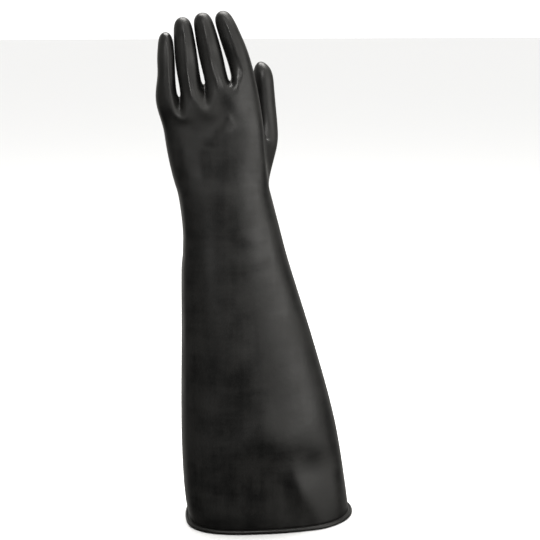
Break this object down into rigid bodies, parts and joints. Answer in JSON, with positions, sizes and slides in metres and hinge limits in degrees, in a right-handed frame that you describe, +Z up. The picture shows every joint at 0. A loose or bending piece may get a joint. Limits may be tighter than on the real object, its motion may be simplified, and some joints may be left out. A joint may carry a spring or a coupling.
{
  "type": "long chemical-resistant latex glove",
  "caption": "Long black latex gauntlet glove, hollow, with a wide sleeve and a rolled bead at the cuff, standing upright on its cuff.",
  "frame": {"origin": "middle of the glove's box, at the height of the cuff's underside", "axes": "+Z up from the cuff to the fingertips, +X to the thumb's side, +Y to the palm side"},
  "size_m": [0.228, 0.112, 0.599],
  "materials": {
    "black_latex": "satin black dipped latex"
  },
  "bodies": {
    "root": {"glove_shell": "black_latex"}
  },
  "joints": []
}
